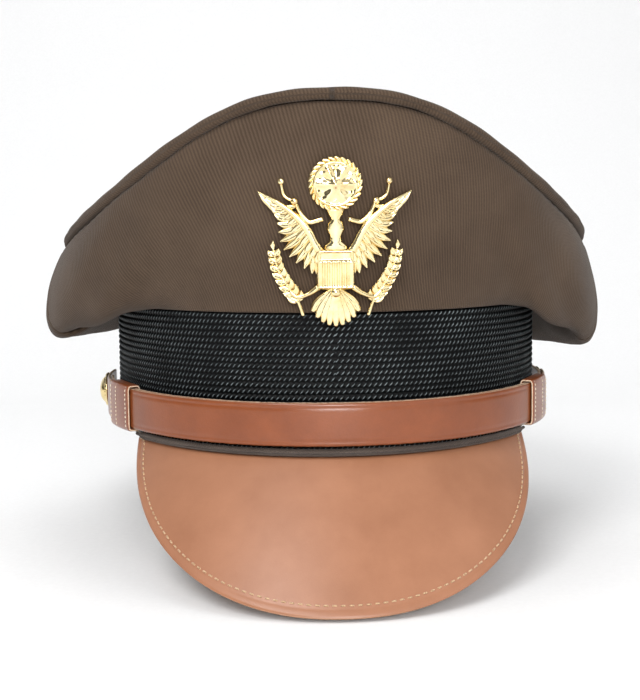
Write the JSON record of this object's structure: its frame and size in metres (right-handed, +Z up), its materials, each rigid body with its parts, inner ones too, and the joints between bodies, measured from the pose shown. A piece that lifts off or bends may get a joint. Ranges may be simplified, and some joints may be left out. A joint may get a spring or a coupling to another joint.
{
  "type": "peaked cap",
  "caption": "Service peaked cap: braid-covered band, soft crown raised at the front, leather visor, two-part chin strap with sliding keepers and a screw-post badge.",
  "frame": {"origin": "centre of the head opening, in the plane of the band's lower edge", "axes": "+Z up, visor towards -Y, +X to the right of a viewer who faces the front"},
  "size_m": [0.2408, 0.2864, 0.1785],
  "materials": {
    "crown_cloth": "matte",
    "braid": "satin",
    "strap_leather": "gloss",
    "visor_leather": "satin",
    "sweat_leather": "satin",
    "visor_board": "matte",
    "frame_board": "matte",
    "cord_cloth": "matte",
    "haircloth": "matte",
    "steel": "satin",
    "brass_gilt": "polished",
    "lining_cloth": "satin",
    "clear_vinyl": "gloss",
    "nut_brass": "satin"
  },
  "bodies": {
    "cap": {"crown_top": "crown_cloth", "crown_front_panel": "crown_cloth", "crown_back_left_panel": "crown_cloth", "crown_back_right_panel": "crown_cloth", "crown_welt": "crown_cloth", "grommet_wire": "steel", "grommet_ferrule": "nut_brass", "front_stiffener": "haircloth", "front_stay": "steel", "stay_rivets": "nut_brass", "lining_side": "lining_cloth", "lining_tip": "lining_cloth", "sweat_shield": "clear_vinyl", "band_frame": "frame_board", "mohair_band": "braid", "sweatband": "sweat_leather", "sweatband_reed": "cord_cloth", "visor_top": "visor_leather", "visor_core": "visor_board", "visor_lining": "visor_leather", "visor_cord": "cord_cloth", "cap_badge": "brass_gilt", "badge_post": "nut_brass"},
    "chin_strap": {"chin_strap_inner": "strap_leather", "chin_strap_outer": "strap_leather"},
    "keeper_left": {"keeper_left": "strap_leather"},
    "keeper_right": {"keeper_right": "strap_leather"},
    "button_left": {"side_button_left": "brass_gilt", "button_nut_left": "nut_brass"},
    "button_right": {"side_button_right": "brass_gilt", "button_nut_right": "nut_brass"},
    "badge_nut": {"badge_nut": "nut_brass"}
  },
  "joints": [
    {"name": "chin_strap_swing", "type": "hinge", "parent": "cap", "child": "chin_strap", "pos_m": [0, 0, 0.0122], "axis": [1, 0, 0], "range_deg": [-2.5, 0]},
    {"name": "keeper_right_slide", "type": "hinge", "parent": "chin_strap", "child": "keeper_right", "pos_m": [-0.0151, -0.00826, 0.0122], "axis": [0, 0, 1], "range_deg": [-24, 0]},
    {"name": "keeper_left_slide", "type": "hinge", "parent": "chin_strap", "child": "keeper_left", "pos_m": [0.0151, -0.00826, 0.0122], "axis": [0, 0, 1], "range_deg": [0, 24]},
    {"name": "button_right_turn", "type": "hinge", "parent": "cap", "child": "button_right", "pos_m": [0.09, 0, 0.0122], "axis": [1, 0, 0], "continuous": true},
    {"name": "button_left_turn", "type": "hinge", "parent": "cap", "child": "button_left", "pos_m": [-0.09, 0, 0.0122], "axis": [1, 0, 0], "continuous": true},
    {"name": "badge_nut_turn", "type": "hinge", "parent": "cap", "child": "badge_nut", "pos_m": [0, -0.105, 0.08], "axis": [0, 1, 0], "continuous": true}
  ]
}
